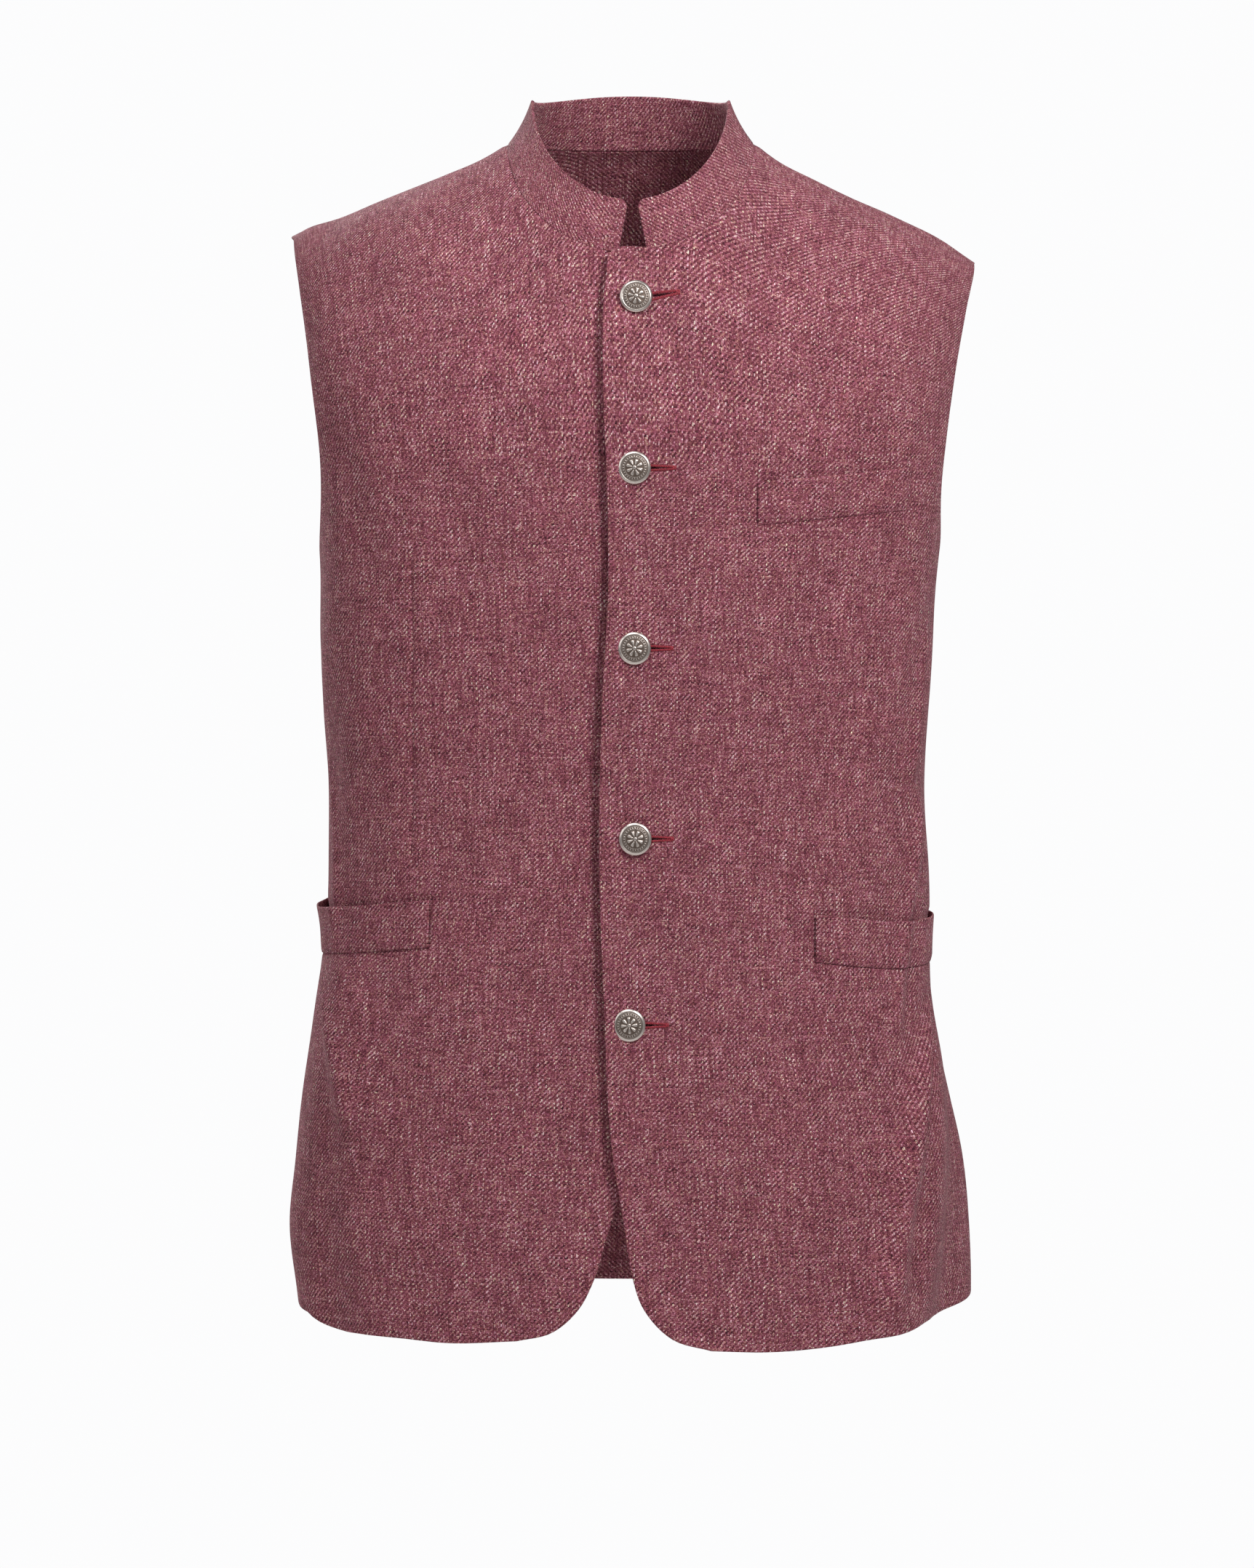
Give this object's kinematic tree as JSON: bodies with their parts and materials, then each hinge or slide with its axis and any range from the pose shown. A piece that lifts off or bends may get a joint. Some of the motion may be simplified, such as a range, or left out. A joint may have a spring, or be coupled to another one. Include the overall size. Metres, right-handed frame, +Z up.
{
  "type": "nehru jacket",
  "caption": "Sleeveless hip-length jacket in coarse twill with a band collar, domed metal buttons down the front and welt pockets, in its worn shape.",
  "frame": {"origin": "centre of the neck at the level of the high shoulder points, where the wearer's neck and shoulders hold the jacket", "axes": "+Z up along the wearer's neck, -Y out of the front, +X to the wearer's left"},
  "size_m": [0.4386, 0.2572, 0.7957],
  "materials": {
    "cloth": "coarse maroon and rose twill, matte",
    "button_metal": "antique nickel, darkened in the recesses"
  },
  "bodies": {
    "root": {"front_left": "cloth", "front_right": "cloth", "back": "cloth", "collar": "cloth", "chest_welt": "cloth", "pocket_welt_left": "cloth", "pocket_welt_right": "cloth", "button_1": "button_metal", "button_2": "button_metal", "button_3": "button_metal", "button_4": "button_metal", "button_5": "button_metal"}
  },
  "joints": []
}
